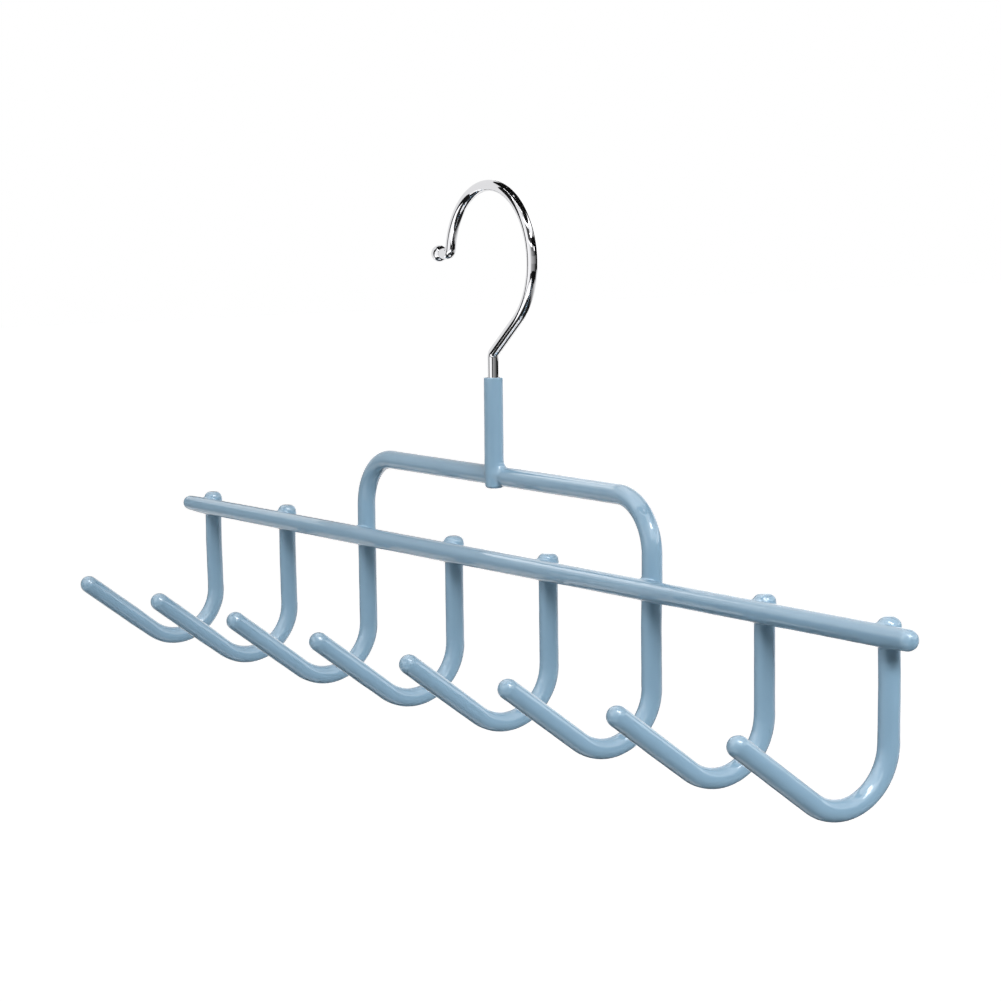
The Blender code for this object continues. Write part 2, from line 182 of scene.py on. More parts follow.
class CoatingSettings(bpy.types.PropertyGroup):
    """The one dipped skin over the welded rack."""

    grain: FloatProperty(name="Mesh step", description="Edge length of the skin's mesh", default=0.00064,
                         min=0.0004, max=0.002, unit="LENGTH", precision=5)
    fillet: FloatProperty(name="Weld fillet", description="How far the coating bridges above a weld",
                          default=0.00080, min=0.0002, max=0.004, unit="LENGTH", precision=5)
    crease: FloatProperty(name="Weld crease", description="How far the coating bridges under a weld",
                          default=0.0004, min=0.0001, max=0.004, unit="LENGTH", precision=5)
    bead: FloatProperty(name="Bead", description="How far the coating hangs under the crossbar at a leg",
                        default=0.0003, min=0.0, max=0.002, unit="LENGTH", precision=5)
    ripple: FloatProperty(name="Ripple", description="Height of the coating's slow unevenness",
                          default=0.000025, min=0.0, max=0.0003, unit="LENGTH", precision=6)
    colour: FloatVectorProperty(name="Colour", description="Pigment of the vinyl", subtype="COLOR", size=3,
                                default=(0.214, 0.345, 0.462), min=0.0, max=1.0)
    roughness: FloatProperty(name="Roughness", description="Roughness of the vinyl", default=0.44,
                             min=0.0, max=1.0, subtype="FACTOR")


class RodHookSettings(bpy.types.PropertyGroup):
    """The chrome-plated rod hook."""

    wire: FloatProperty(name="Wire radius", description="Radius of the plated wire", default=0.00159,
                        min=0.0005, max=0.004, unit="LENGTH", precision=5)
    ball: FloatProperty(name="Ball radius", description="Radius of the ball on the tip", default=0.00244,
                        min=0.001, max=0.006, unit="LENGTH", precision=5)
    sides: IntProperty(name="Sides", description="Facets round the wire", default=48, min=12, max=96)
    colour: FloatVectorProperty(name="Colour", description="Tint of the plating", subtype="COLOR", size=3,
                                default=(0.86, 0.86, 0.88), min=0.0, max=1.0)
    roughness: FloatProperty(name="Roughness", description="Roughness of the plating", default=0.03,
                             min=0.0, max=1.0, subtype="FACTOR")


# The photograph's focal length and width in pixels, and the camera's sensor in millimetres
PHOTO_FOCAL = 3282.048
PHOTO_WIDTH = 1001
SENSOR_WIDTH = 36.0


class StageSettings(bpy.types.PropertyGroup):
    """Camera, lamps, cards and floor."""

    azimuth: FloatProperty(name="Camera azimuth", description="Turn of the camera about Z", subtype="ANGLE",
                           default=math.radians(56.8457543))
    elevation: FloatProperty(name="Camera elevation", description="Tilt of the camera over level",
                             subtype="ANGLE", default=math.radians(6.52609649))
    roll: FloatProperty(name="Camera roll", description="Roll of the camera about its view", subtype="ANGLE",
                        default=math.radians(-0.57702261))
    place: FloatVectorProperty(name="Camera place", description="Where the camera stands",
                               subtype="TRANSLATION", size=3, default=(0.791637, -0.515048, 0.018745))
    lens: FloatProperty(name="Lens", description="Focal length on a 36 mm sensor, in millimetres",
                        default=PHOTO_FOCAL / PHOTO_WIDTH * SENSOR_WIDTH)
    floor: FloatProperty(name="Floor height", description="Height of the floor",
                         default=-0.62, unit="LENGTH")
    ambient: FloatProperty(name="Ambient", description="Light from all round on what isn't glossy",
                           default=0.03, min=0.0, max=2.0)


# Distances from points to the axes of the wires

def to_run(p, a, b):
    """Distance from points to a straight run of wire axis, whose ends may differ from point to point."""
    a = np.array(a)
    d = np.array(b) - a
    t = np.clip(((p - a) * d).sum(-1) / (d * d).sum(-1), 0.0, 1.0)
    return np.linalg.norm(p - a - t[:, None] * d, axis=1)


def to_bend(p, centre, radius, first, across, sweep):
    """Distance from points to a bend that starts along first and turns towards across."""
    q = p - np.array(centre)
    a, b = q @ np.array(first), q @ np.array(across)
    off = np.maximum((q * q).sum(1) - a * a - b * b, 0.0)
    turn = (np.arctan2(b, a) - sweep / 2 + math.pi) % (2 * math.pi) - math.pi
    turn = np.clip(turn, -sweep / 2, sweep / 2) + sweep / 2
    return np.sqrt((a - radius * np.cos(turn)) ** 2 + (b - radius * np.sin(turn)) ** 2 + off)


def rounded_post(rho, rise, radius, edge):
    """Distance from points to a post with a flat, rounded top. rise is height over the top."""
    side, top = rho - (radius - edge), rise + edge
    outside = np.hypot(np.maximum(side, 0.0), np.maximum(top, 0.0))
    return outside + np.minimum(np.maximum(side, top), 0.0) - edge


def melt(a, b, width):
    """Join two distances with a fillet."""
    h = np.maximum(width - np.abs(a - b), 0.0) / width
    return np.minimum(a, b) - h * h * width / 4


def step_between(value, low, high):
    """Smooth step from 0 at low to 1 at high."""
    t = np.clip((value - low) / (high - low), 0.0, 1.0)
    return t * t * (3 - 2 * t)


def hook_place(x):
    """Number of the nearest hook in the row, from 0, and each point's x from its leg."""
    place = np.clip(np.round((x + ROW_HALF) / PITCH), 0, HOOK_COUNT - 1).astype(int)
    return place, x - (place * PITCH - ROW_HALF)


def ripple(p):
    """Slow unevenness of the dipped coating, from -1 to 1."""
    x, y, z = p[:, 0] * 1000, p[:, 1] * 1000, p[:, 2] * 1000
    slow = np.sin(0.43 * x + 0.31 * z + 1.3) * np.sin(0.37 * z - 0.52 * y + 0.21 * x)
    fine = np.sin(0.91 * x - 0.77 * y + 0.4) * np.sin(0.83 * z + 0.69 * y + 0.17 * x + 2.1)
    return 0.65 * slow + 0.35 * fine


def hook_shift(place, z):
    """How far a hook stands off its place in the row at each height."""
    low, mid, high = (np.array(row)[place] for row in (SHIFT_AT_BEND, SHIFT_AT_LEG, SHIFT_AT_BAR))
    depth = BAR_Z - z
    upper = np.clip(depth / MID_LEG_DEPTH, 0.0, 1.0)
    lower = np.clip((depth - MID_LEG_DEPTH) / LEG_BEND_RUN, 0.0, 1.0)
    return high + (mid - high) * upper + (low - mid) * lower


def to_hooks(p):
    """Distance to the outside of the legs, bends and arms, and of the frame over the crossbar."""
    z = p[:, 2]
    place, x = hook_place(p[:, 0])
    upright = step_between(z, BAR_Z - MID_LEG_DEPTH, BAR_Z + 0.004)
    aside = np.array([UPRIGHT_SHIFT.get(number, 0.0) for number in range(HOOK_COUNT)])
    x = x - hook_shift(place, z) - aside[place] * upright
    q = np.stack([x, p[:, 1], z], axis=1)
    leg, arm = np.array(LEG_RADII)[place], np.array(ARM_RADII)[place]
    more = np.array(BEND_MORE)[place]
    bend = BEND_R + more
    sweep = math.pi / 2 + ARM_RISE
    centre_z = BEND_Z + more * (1 + math.sin(ARM_RISE)) / math.cos(ARM_RISE)
    centre = np.stack([np.zeros_like(z), LEG_Y - bend, centre_z], axis=1)
    end = centre - bend[:, None] * np.array([0.0, math.sin(ARM_RISE), math.cos(ARM_RISE)])
    tip_y = LEG_Y - BEND_R - BEND_R * math.sin(ARM_RISE) - ARM_RUN * math.cos(ARM_RISE)
    tip_z = BEND_Z - BEND_R * math.cos(ARM_RISE) + ARM_RUN * math.sin(ARM_RISE)
    low = to_bend(q, centre, bend, (0.0, 1.0, 0.0), (0.0, 0.0, -1.0), sweep)
    along = (q - end) @ np.array([0.0, -math.cos(ARM_RISE), math.sin(ARM_RISE)])
    swell = (arm - leg) * np.clip(along / ARM_SWELL_RUN, 0.0, 1.0)
    low = np.minimum(low - leg, to_run(q, end, (0.0, tip_y, tip_z)) - leg - swell)
    rho = np.hypot(x, p[:, 1] - LEG_Y + np.maximum(leg - COAT_R, 0.0))
    below = np.hypot(np.maximum(rho - leg, 0.0), np.maximum(centre_z - z, 0.0))
    framed = np.isin(place, FRAME_PLACES)
    top = np.where(framed, TOP_BAR_Z - CORNER_R, KNOB_TOP + np.array(KNOB_LIFT)[place])
    flare = KNOB_FLARE * np.clip((top - z) / KNOB_FLARE_DEPTH, 0.0, 1.0)
    flare = flare * step_between(z, BAR_Z, BAR_Z + 0.0015)
    knob = rounded_post(rho, z - top, leg - KNOB_INSET + flare, np.array(KNOB_EDGE)[place])
    plain = np.where(z > top, np.hypot(rho, z - top) - leg, rho - leg)
    post = np.where(z < centre_z, np.maximum(below, 1e-5), np.where(framed, plain, knob))
    near, far = (number * PITCH - ROW_HALF + UPRIGHT_SHIFT[number] for number in FRAME_PLACES)
    near, far = near + CORNER_R, far - CORNER_R
    height = TOP_BAR_Z - CORNER_R
    over = to_run(p, (near, LEG_Y, TOP_BAR_Z), (far, LEG_Y, TOP_BAR_Z))
    over = np.minimum(over, to_bend(p, (near, LEG_Y, height), CORNER_R, (-1, 0, 0), (0, 0, 1), math.pi / 2))
    over = np.minimum(over, to_bend(p, (far, LEG_Y, height), CORNER_R, (1, 0, 0), (0, 0, 1), math.pi / 2))
    over = over - TOP_BAR_R - TOP_BAR_MORE * step_between(p[:, 0], -0.03, 0.02)
    return np.minimum(np.minimum(low, post), over)


def to_crossbar(p, bead):
    """Distance to the crossbar's coating, with its beads under the legs and its two formed ends."""
    x = p[:, 0]
    radius = np.interp(x, BAR_STATIONS, BAR_RADII)
    far = step_between(-x, BAR_END - FAR_END_REACH[0], BAR_END - FAR_END_REACH[1])
    near = step_between(x, BAR_END - NEAR_END_REACH[0], BAR_END - NEAR_END_REACH[1])
    end = BAR_END - BAR_COAT_R - CLEARANCE
    rise = BAR_RISE + FAR_END_RISE * far + NEAR_END_RISE * near
    radius = radius - (NEAR_END_THINNER * near + FAR_END_THINNER * far)
    ahead = np.maximum(np.abs(x) - end, 0.0) * radius / max(BAR_RADII)
    bar = np.sqrt(ahead ** 2 + (p[:, 1] - BAR_Y) ** 2 + (p[:, 2] - BAR_Z - rise) ** 2) - radius
    place, across = hook_place(x)
    drop = BAR_Z - radius + BEAD_R - bead
    lobe = np.sqrt((np.maximum(np.abs(across - BEAD_ASIDE) - BEAD_HALF, 0.0) / BEAD_STRETCH[0]) ** 2
                   + ((p[:, 1] - BAR_Y - BEAD_BACK) / BEAD_STRETCH[1]) ** 2
                   + (p[:, 2] - drop) ** 2) - BEAD_R
    return melt(bar, lobe, BEAD_FILLET)


def to_sleeve(p):
    """Distance to the coated sleeve: a long post that draws in a little at its rounded foot."""
    foot = step_between(TOP_BAR_Z + FOOT_START - p[:, 2], 0.0, FOOT_RUN)
    rho = np.hypot(p[:, 0], p[:, 1])
    depth = (SLEEVE_HIGH.z - p[:, 2]) / (SLEEVE_HIGH.z - SLEEVE_LOW.z)
    radius = SLEEVE_R + SLEEVE_SWELL * np.clip(depth, 0.0, 1.0) - FOOT_INSET * foot
    low = rounded_post(rho, SLEEVE_LOW.z + CLEARANCE - p[:, 2], radius, FOOT_EDGE)
    return np.maximum(low, p[:, 2] - SLEEVE_HIGH.z)


def coating_distance(p, settings):
    """Distance to the outside of the one skin over all of the wires."""
    z = p[:, 2]
    over_bar = step_between(z, BAR_Z - 0.001, BAR_Z + 0.001)
    width = settings.crease + (settings.fillet - settings.crease) * over_bar
    rack = melt(to_crossbar(p, settings.bead), to_hooks(p), width)
    saddle = SADDLE_UNDER + SADDLE_MORE * step_between(z, TOP_BAR_Z - 0.001, TOP_BAR_Z + 0.001)
    whole = melt(rack, to_sleeve(p), saddle)
    quiet = 1 - step_between(z, SLEEVE_HIGH.z - 0.009, SLEEVE_HIGH.z - 0.005)
    return whole - settings.ripple * ripple(p) * quiet


def coating_slope(p, settings):
    """Unit normals of the skin at points on it."""
    slope = np.empty_like(p)
    for axis in range(3):
        offset = np.zeros(3)
        offset[axis] = SLOPE_STEP
        slope[:, axis] = coating_distance(p + offset, settings) - coating_distance(p - offset, settings)
    return slope / np.linalg.norm(slope, axis=1)[:, None]


# Meshes

# Step for slopes, a vertex's longest move in one round of settling, and the reach of fine faces at a weld
SLOPE_STEP = 0.00002
SETTLE_STEP = 0.0004
WELD_HALF = 0.0045
WELD_HEIGHT = 0.0049
SADDLE_HEIGHT = 0.0048

# The rod hook's ring groove, the play of the ring in it, and the easing at its edges
GROOVE_R = 0.0010
RING_PLAY = 0.00025
GROOVE_EASE = 0.0001


def vertex_places(mesh):
    """A mesh's vertices as an array."""
    flat = np.empty(len(mesh.vertices) * 3)
    mesh.vertices.foreach_get("co", flat)
    return flat.reshape(-1, 3)


def finished_mesh(obj):
    """The mesh of an object with its modifiers applied."""
    depsgraph = bpy.context.evaluated_depsgraph_get()
    return bpy.data.meshes.new_from_object(obj.evaluated_get(depsgraph))


def arc(centre, radius, start, end, count):
    """Points on an arc between two angles in radians, both ends included."""
    angles = np.linspace(start, end, count + 1)
    return [(centre[0] + radius * math.cos(a), centre[1] + radius * math.sin(a)) for a in angles]


def add_tube(curve, points):
    """Add one closed-ended round wire to a curve, with its ends drawn in."""
    first = (points[0] - points[1]).normalized()
    last = (points[-1] - points[-2]).normalized()
    ends = [math.radians(a) for a in (30, 60, 85)]
    rings = [(points[0] + first * COAT_R * math.sin(a), math.cos(a)) for a in reversed(ends)]
    rings += [(p, 1.0) for p in points]
    rings += [(points[-1] + last * COAT_R * math.sin(a), math.cos(a)) for a in ends]
    spline = curve.splines.new("POLY")
    spline.points.add(len(rings) - 1)
    for point, (place, share) in zip(spline.points, rings):
        point.co = (*place, 1.0)
        point.radius = share


def rack_curve():
    """All the wires and the sleeve as one bevelled curve."""
    curve = bpy.data.curves.new("rack", "CURVE")
    curve.dimensions = "3D"
    curve.bevel_depth = COAT_R
    curve.bevel_resolution = 6
    curve.use_fill_caps = True
    end = BAR_END - COAT_R
    add_tube(curve, [Vector((-end, BAR_Y, BAR_Z)), Vector((end, BAR_Y, BAR_Z))])
    low = arc((LEG_Y - BEND_R, BEND_Z), BEND_R, 0.0, -math.pi / 2 - ARM_RISE, 20)
    tip = (low[-1][0] - ARM_RUN * math.cos(ARM_RISE), low[-1][1] + ARM_RUN * math.sin(ARM_RISE))
    profile = low + [tip]
    for place in range(HOOK_COUNT):
        x = place * PITCH - ROW_HALF
        if place not in FRAME_PLACES:
            head = Vector((x, LEG_Y, KNOB_TOP - COAT_R))
            add_tube(curve, [head] + [Vector((x, y, z)) for y, z in profile])
    near, far = (place * PITCH - ROW_HALF for place in FRAME_PLACES)
    height = TOP_BAR_Z - CORNER_R
    over = [Vector((near, y, z)) for y, z in reversed(profile)]
    corners = arc((near + CORNER_R, height), CORNER_R, math.pi, math.pi / 2, 12)
    corners += arc((far - CORNER_R, height), CORNER_R, math.pi / 2, 0.0, 12)
    over += [Vector((x, LEG_Y, z)) for x, z in corners]
    over += [Vector((far, y, z)) for y, z in profile]
    add_tube(curve, over)
    add_tube(curve, [Vector((0, 0, SLEEVE_LOW.z + COAT_R)), Vector((0, 0, SLEEVE_HIGH.z))])
    return curve


def settle(bm, settings, rounds):
    """Bring a bmesh's vertices onto the skin's true surface."""
    places = np.array([v.co[:] for v in bm.verts])
    for _ in range(rounds):
        gap = coating_distance(places, settings)
        slope = coating_slope(places, settings)
        places -= np.clip(gap, -SETTLE_STEP, SETTLE_STEP)[:, None] * slope
    for vert, place in zip(bm.verts, places):
        vert.co = place
    return places


def near_weld(point):
    """Whether a point lies where a leg or the sleeve crosses another wire."""
    if abs(point.z - BAR_Z) < WELD_HEIGHT:
        across = (point.x + ROW_HALF) % PITCH
        return min(across, PITCH - across) < WELD_HALF
    return abs(point.x) < WELD_HALF and abs(point.z - TOP_BAR_Z) < SADDLE_HEIGHT


def open_sleeve(bm, cut_z):
    """Cut the skin under the sleeve's top and turn a rim with an open bore onto the cut."""
    geometry = list(bm.verts) + list(bm.edges) + list(bm.faces)
    bmesh.ops.bisect_plane(bm, geom=geometry, plane_co=(0, 0, cut_z), plane_no=(0, 0, 1), clear_outer=True)
    loop = [e for e in bm.edges if e.is_boundary]
    mouth = (TUBE_HIGH.x - TUBE_LOW.x) / 2 - 0.0005
    edge = 0.00035
    round_out = arc((SLEEVE_R - edge, SLEEVE_HIGH.z - edge), edge, 0.0, math.pi / 2, 5)
    round_in = arc((mouth + edge / 2, SLEEVE_HIGH.z - edge / 2), edge / 2, math.pi / 2, math.pi, 4)
    profile = [(SLEEVE_R, cut_z)] + round_out + round_in + [(mouth, TUBE_HIGH.z - 0.0001)]
    for vert in {v for e in loop for v in e.verts}:
        angle = math.atan2(vert.co.y, vert.co.x)
        vert.co = (SLEEVE_R * math.cos(angle), SLEEVE_R * math.sin(angle), cut_z)
    for radius, height in profile[1:]:
        made = bmesh.ops.extrude_edge_only(bm, edges=loop)["geom"]
        loop = [g for g in made if isinstance(g, bmesh.types.BMEdge)]
        for vert in [g for g in made if isinstance(g, bmesh.types.BMVert)]:
            angle = math.atan2(vert.co.y, vert.co.x)
            vert.co = (radius * math.cos(angle), radius * math.sin(angle), height)


def coating_mesh(settings):
    """The skin: the wires joined by a voxel remesh, settled on their smooth union, open at the sleeve."""
    guide = bpy.data.objects.new("rack", rack_curve())
    bpy.context.scene.collection.objects.link(guide)
    rough = bpy.data.objects.new("rack_mesh", finished_mesh(guide))
    bpy.context.scene.collection.objects.link(rough)
    join = rough.modifiers.new("join", "REMESH")
    join.mode = "VOXEL"
    join.voxel_size = settings.grain * 1.0
    relax = rough.modifiers.new("relax", "SMOOTH")
    relax.iterations = 3
    mesh = finished_mesh(rough)
    mesh.name = "coating_skin"
    bpy.data.objects.remove(rough)
    bpy.data.objects.remove(guide)
    bm = bmesh.new()
    bm.from_mesh(mesh)
    settle(bm, settings, 3)
    close = {e for f in bm.faces if near_weld(f.calc_center_median()) for e in f.edges}
    bmesh.ops.subdivide_edges(bm, edges=list(close), cuts=1, use_grid_fill=True)
    settle(bm, settings, 3)
    cut_z = SLEEVE_HIGH.z - 0.0016
    open_sleeve(bm, cut_z)
    bmesh.ops.triangulate(bm, faces=[f for f in bm.faces if len(f.verts) > 4])
    bmesh.ops.recalc_face_normals(bm, faces=bm.faces)
    bm.to_mesh(mesh)
    bm.free()
    for polygon in mesh.polygons:
        polygon.use_smooth = True
    places = vertex_places(mesh)
    normals = np.empty(len(mesh.vertices) * 3)
    mesh.vertex_normals.foreach_get("vector", normals)
    normals = normals.reshape(-1, 3)
    low = places[:, 2] < cut_z - 0.0001
    normals[low] = coating_slope(places[low], settings)
    corners = [np.array(corner) for corner in CAD_BOX]
    places = np.clip(places, corners[0] + 0.00001, corners[1] - 0.00001)
    mesh.vertices.foreach_set("co", places.ravel())
    mesh.normals_split_custom_set_from_vertices(normals)
    return mesh


def wire_rings(settings):
    """The rod hook's axis and radius, as (x, z, radius) from its tail to its ball, and the ball's pole."""
    tail = ROD_LOW.z
    groove_low = RING_LOW.z - RING_PLAY
    groove_high = RING_HIGH.z + RING_PLAY
    r = settings.wire
    line = [(0.0, tail, r * 0.72), (0.0, tail + 0.0002, r * 0.90), (0.0, tail + 0.0004, r)]
    line += [(0.0, groove_low - GROOVE_EASE, r), (0.0, groove_low, GROOVE_R), (0.0, groove_high, GROOVE_R)]
    line += [(0.0, groove_high + GROOVE_EASE, r)]
    kink_z = SLEEVE_HIGH.z + NECK_LENGTH
    crown_r = ROD_SPACE_R + ROD_WIRE_R
    reach = math.hypot(ROD_SHIFT, ROD_CENTRE_Z - kink_z)
    lean = math.atan2(ROD_CENTRE_Z - kink_z, ROD_SHIFT) - math.asin(crown_r / reach)
    back = KINK_R * math.tan((math.pi / 2 - lean) / 2)
    kink = arc((KINK_R, kink_z - back), KINK_R, math.pi, math.pi / 2 + lean, 8)
    shank = kink[0][1] - groove_high
    line += [(0.0, groove_high + GROOVE_EASE + shank * k / 12, r) for k in range(1, 12)]
    line += [(x, z, r) for x, z in kink]
    rise = math.asin((TIP_RISE + TIP_BEND_R) / (crown_r + TIP_BEND_R))
    crown = arc((ROD_SHIFT, ROD_CENTRE_Z), crown_r, lean - math.pi / 2, math.pi - rise, 110)
    start, stop = Vector(kink[-1]), Vector(crown[0])
    line += [(*start.lerp(stop, k / 6), r) for k in range(1, 6)]
    line += [(x, z, r) for x, z in crown]
    turn_x = ROD_SHIFT - (crown_r + TIP_BEND_R) * math.cos(rise)
    turn_z = ROD_CENTRE_Z + TIP_RISE + TIP_BEND_R
    line += [(x, z, r) for x, z in arc((turn_x, turn_z), TIP_BEND_R, -rise, -math.pi / 2, 12)[1:]]
    ball_x = ROD_SHIFT - TIP_REACH
    ball_z = ROD_CENTRE_Z + TIP_RISE
    neck = math.asin(r / settings.ball) + 0.10
    collar = ball_x + settings.ball * math.cos(neck)
    line += [(collar + 0.00035, ball_z, r), (collar + 0.00012, ball_z, r * 1.015)]
    for k in range(19):
        angle = neck + (math.pi - neck) * k / 19
        line.append((ball_x + settings.ball * math.cos(angle), ball_z, settings.ball * math.sin(angle)))
    return line, Vector((ball_x - settings.ball, 0.0, ball_z))


def rod_hook_mesh(settings):
    """The plated wire, swept round its axis, with a pole on its tail and on its ball."""
    line, pole = wire_rings(settings)
    points = [Vector((x, 0.0, z)) for x, z, _ in line]
    bm = bmesh.new()
    rings = []
    for i, (point, (_, _, radius)) in enumerate(zip(points, line)):
        ahead = points[min(i + 1, len(points) - 1)] - points[max(i - 1, 0)]
        side = Vector((0.0, 1.0, 0.0))
        out = ahead.normalized().cross(side)
        ring = []
        for k in range(settings.sides):
            angle = 2 * math.pi * k / settings.sides
            ring.append(bm.verts.new(point + radius * (math.cos(angle) * side + math.sin(angle) * out)))
        rings.append(ring)
    for low, high in zip(rings, rings[1:]):
        for k in range(settings.sides):
            n = (k + 1) % settings.sides
            bm.faces.new((low[k], low[n], high[n], high[k]))
    for ring, place in ((rings[0], points[0]), (rings[-1], pole)):
        centre = bm.verts.new(place)
        for k in range(settings.sides):
            bm.faces.new((ring[k], ring[(k + 1) % settings.sides], centre))
    bmesh.ops.recalc_face_normals(bm, faces=bm.faces)
    mesh = bpy.data.meshes.new("rod_hook_plated")
    bm.to_mesh(mesh)
    bm.free()
    mesh.shade_smooth()
    mesh.set_sharp_from_angle(angle=math.radians(40.0))
    return mesh


def add_piece(name, mesh, body, material, nodes):
    """Add a piece that rides on a body and stands for CAD nodes."""
    obj = bpy.data.objects.new(name, mesh)
    bpy.context.scene.collection.objects.link(obj)
    obj.data.materials.clear()
    obj.data.materials.append(material)
    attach(obj, body)
    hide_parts(*nodes)
    return obj


# Materials

def wire_up(tree, source, output, target, entry):
    """Link one node's output to another's input."""
    tree.links.new(source.outputs[output], target.inputs[entry])


def unevenness_group():
    """Node group shared by the finishes: two scales of noise as a mask and a height."""
    if "surface_unevenness" in bpy.data.node_groups:
        return bpy.data.node_groups["surface_unevenness"]
    group = bpy.data.node_groups.new("surface_unevenness", "ShaderNodeTree")
    for label, value in (("Patch Scale", 60.0), ("Fine Scale", 900.0), ("Fine Share", 0.3)):
        socket = group.interface.new_socket(label, in_out="INPUT", socket_type="NodeSocketFloat")
        socket.min_value = 0.0
        socket.default_value = value
    group.interface.new_socket("Mask", in_out="OUTPUT", socket_type="NodeSocketFloat")
    group.interface.new_socket("Height", in_out="OUTPUT", socket_type="NodeSocketFloat")
    entry = group.nodes.new("NodeGroupInput")
    leave = group.nodes.new("NodeGroupOutput")
    place = group.nodes.new("ShaderNodeTexCoord")
    patch = group.nodes.new("ShaderNodeTexNoise")
    fine = group.nodes.new("ShaderNodeTexNoise")
    mix = group.nodes.new("ShaderNodeMix")
    wire_up(group, place, "Object", patch, "Vector")
    wire_up(group, place, "Object", fine, "Vector")
    wire_up(group, entry, "Patch Scale", patch, "Scale")
    wire_up(group, entry, "Fine Scale", fine, "Scale")
    wire_up(group, entry, "Fine Share", mix, "Factor")
    wire_up(group, patch, "Fac", mix, "A")
    wire_up(group, fine, "Fac", mix, "B")
    wire_up(group, patch, "Fac", leave, "Mask")
    wire_up(group, mix, "Result", leave, "Height")
    return group


def finish_material(name, colour, scales, tint, rough, bump, sockets):
    """A finish: base colour and roughness vary with the noise's mask, and its height makes the bump.

    tint is a share of the colour for all channels and one for each, rough is a range, and bump is a
    strength and a distance.
    """
    material = bpy.data.materials.new(name)
    material.use_nodes = True
    tree = material.node_tree
    shader = tree.nodes["Principled BSDF"]
    for label, value in sockets.items():
        shader.inputs[label].default_value = value
    uneven = tree.nodes.new("ShaderNodeGroup")
    uneven.node_tree = unevenness_group()
    for label, value in zip(("Patch Scale", "Fine Scale", "Fine Share"), scales):
        uneven.inputs[label].default_value = value
    shade = tree.nodes.new("ShaderNodeMix")
    shade.data_type = "RGBA"
    shade.inputs["A"].default_value = (*[c * tint[0] for c in colour], 1.0)
    shade.inputs["B"].default_value = (*[c * t for c, t in zip(colour, tint[1])], 1.0)
    wire_up(tree, uneven, "Mask", shade, "Factor")
    wire_up(tree, shade, "Result", shader, "Base Color")
    spread = tree.nodes.new("ShaderNodeMapRange")
    spread.inputs["From Min"].default_value = 0.3
    spread.inputs["From Max"].default_value = 0.7
    spread.inputs["To Min"].default_value = rough[0]
    spread.inputs["To Max"].default_value = rough[1]
    wire_up(tree, uneven, "Mask", spread, "Value")
    wire_up(tree, spread, "Result", shader, "Roughness")
    relief = tree.nodes.new("ShaderNodeBump")
    relief.inputs["Strength"].default_value = bump[0]
    relief.inputs["Distance"].default_value = bump[1]
    wire_up(tree, uneven, "Height", relief, "Height")
    wire_up(tree, relief, "Normal", shader, "Normal")
    return material


def vinyl_material(settings):
    """Dipped soft vinyl: even pigment with faint clouding and a smooth skin."""
    rough = (settings.roughness - 0.04, settings.roughness + 0.05)
    sockets = {"Metallic": 0.0, "IOR": 1.5, "Specular IOR Level": 0.04, "Coat Weight": 1.0,
               "Coat Roughness": 0.06, "Coat IOR": 1.5}
    return finish_material("dipped_vinyl", settings.colour, (90.0, 1500.0, 0.25), (0.96, (1.05, 1.04, 1.03)),
                           rough, (0.25, 0.00006), sockets)


def plating_material(settings):
    """Bright plating with faint rubbed patches."""
    rough = (settings.roughness - 0.015, settings.roughness + 0.03)
    return finish_material("bright_plating", settings.colour, (120.0, 2500.0, 0.4), (0.985, (1.0, 1.0, 1.0)),
                           rough, (0.08, 0.00001), {"Metallic": 1.0})


def drawn_steel_material():
    """Bare drawn wire and tube."""
    tint = (0.85, (1.1, 1.08, 1.05))
    return finish_material("drawn_steel", (0.45, 0.45, 0.46), (200.0, 3500.0, 0.5), tint,
                           (0.28, 0.42), (0.3, 0.00002), {"Metallic": 1.0})


# Operators

class HANGER_OT_coating(bpy.types.Operator):
    """Build the one dipped skin over the welded rack and its sleeve"""

    bl_idname = "hanger.coating"
    bl_label = "Dipped coating"

    def execute(self, context):
        settings = context.scene.hanger_coating
        mesh = coating_mesh(settings)
        if len(mesh.vertices) < 1000:
            raise RuntimeError("the wires didn't join into one skin")
        add_piece("coating_skin", mesh, "hanger", vinyl_material(settings), COATED)
        return {"FINISHED"}


class HANGER_OT_rod_hook(bpy.types.Operator):
    """Build the plated rod hook with its ring groove and the ball on its tip"""

    bl_idname = "hanger.rod_hook"
    bl_label = "Rod hook"

    def execute(self, context):
        settings = context.scene.hanger_rod_hook
        mesh = rod_hook_mesh(settings)
        add_piece("rod_hook_plated", mesh, "hook", plating_material(settings), ["rod_hook"])
        return {"FINISHED"}


class HANGER_OT_steel(bpy.types.Operator):
    """Give the bare wires, the sleeve's tube and the retaining ring their steel"""

    bl_idname = "hanger.steel"
    bl_label = "Bare steel"

    def execute(self, context):
        steel = drawn_steel_material()
        for name in CORES + ["sleeve_tube", "retaining_ring"]:
            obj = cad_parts[name]
            obj.data.materials.clear()
            obj.data.materials.append(steel)
        return {"FINISHED"}


# Studio

def white_for_camera(tree, plain, strength):
    """Value node chain: strength for camera, glossy and transmission rays and plain for the rest."""
    path = tree.nodes.new("ShaderNodeLightPath")
    first = tree.nodes.new("ShaderNodeMath")
    second = tree.nodes.new("ShaderNodeMath")
    first.operation = "MAXIMUM"
    second.operation = "MAXIMUM"
    wire_up(tree, path, "Is Camera Ray", first, 0)
    wire_up(tree, path, "Is Glossy Ray", first, 1)
    wire_up(tree, first, "Value", second, 0)
    wire_up(tree, path, "Is Transmission Ray", second, 1)
    level = tree.nodes.new("ShaderNodeMapRange")
    level.inputs["To Min"].default_value = plain
    level.inputs["To Max"].default_value = strength
    wire_up(tree, second, "Value", level, "Value")
    return level


